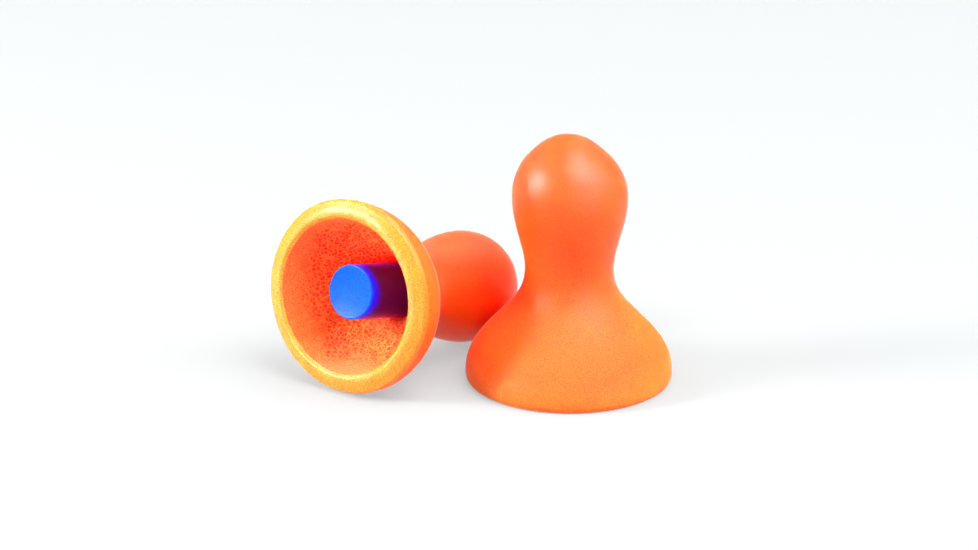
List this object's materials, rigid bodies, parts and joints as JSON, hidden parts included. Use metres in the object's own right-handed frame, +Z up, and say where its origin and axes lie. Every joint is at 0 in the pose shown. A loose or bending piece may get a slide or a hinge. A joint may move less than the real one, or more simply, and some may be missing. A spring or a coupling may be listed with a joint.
{
  "type": "foam ear plugs",
  "caption": "Push-in foam ear plugs, shown standing and lying: round bulb, waist and flared hollow bell moulded as a solid foam body, with a plastic push stem set in the middle.",
  "frame": {"origin": "on the floor, under the centre of the pair's bounding box", "axes": "+Z up, +X along the pair's longest extent from the lying plug towards the standing plug, +Y away from the side the lying plug's bell faces"},
  "size_m": [0.0428, 0.0286, 0.027],
  "materials": {
    "moulded_foam": "matte",
    "stem_plastic": "satin"
  },
  "bodies": {
    "standing_plug": {"standing_foam_body": "moulded_foam"},
    "standing_stem_body": {"standing_stem": "stem_plastic"},
    "lying_plug": {"lying_foam_body": "moulded_foam"},
    "lying_stem_body": {"lying_stem": "stem_plastic"}
  },
  "joints": [
    {"name": "standing_stem_press", "type": "slide", "parent": "standing_plug", "child": "standing_stem_body", "axis": [0, 0, 1], "range_m": [-0.0011, 0.0014], "stiffness_N_per_m": 600},
    {"name": "lying_plug_lift", "type": "slide", "parent": "standing_plug", "child": "lying_plug", "axis": [0, 0, 1], "range_m": [0, 0.04]},
    {"name": "lying_stem_press", "type": "slide", "parent": "lying_plug", "child": "lying_stem_body", "axis": [0.605, 0.7579, -0.2438], "range_m": [-0.0011, 0.0014], "stiffness_N_per_m": 600}
  ]
}
